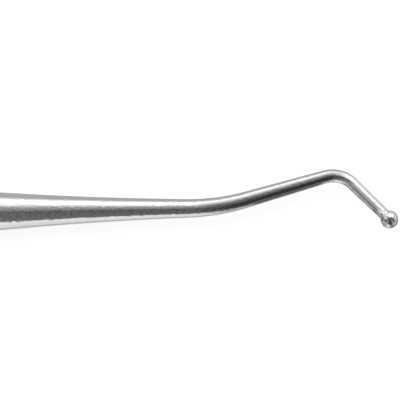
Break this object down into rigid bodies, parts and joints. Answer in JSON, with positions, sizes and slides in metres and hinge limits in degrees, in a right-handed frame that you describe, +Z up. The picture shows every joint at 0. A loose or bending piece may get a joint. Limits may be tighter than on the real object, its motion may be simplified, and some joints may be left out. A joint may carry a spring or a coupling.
{
  "type": "ball burnisher",
  "caption": "Dental ball burnisher: an octagonal steel handle runs out in a long hollow taper to a slim, twice-bent shank that ends in a small polished ball.",
  "frame": {"origin": "middle of the round butt face, on the handle's axis", "axes": "+X along the handle's axis towards the ball, +Y to the side that the hook's crest is on, +Z up as the tool lies on a flat of its handle"},
  "size_m": [0.1523, 0.0069, 0.006],
  "materials": {
    "steel": "polished stainless steel with fine turning marks round the bar, mirror bright on the ball"
  },
  "bodies": {
    "root": {"burnisher": "steel"}
  },
  "joints": []
}
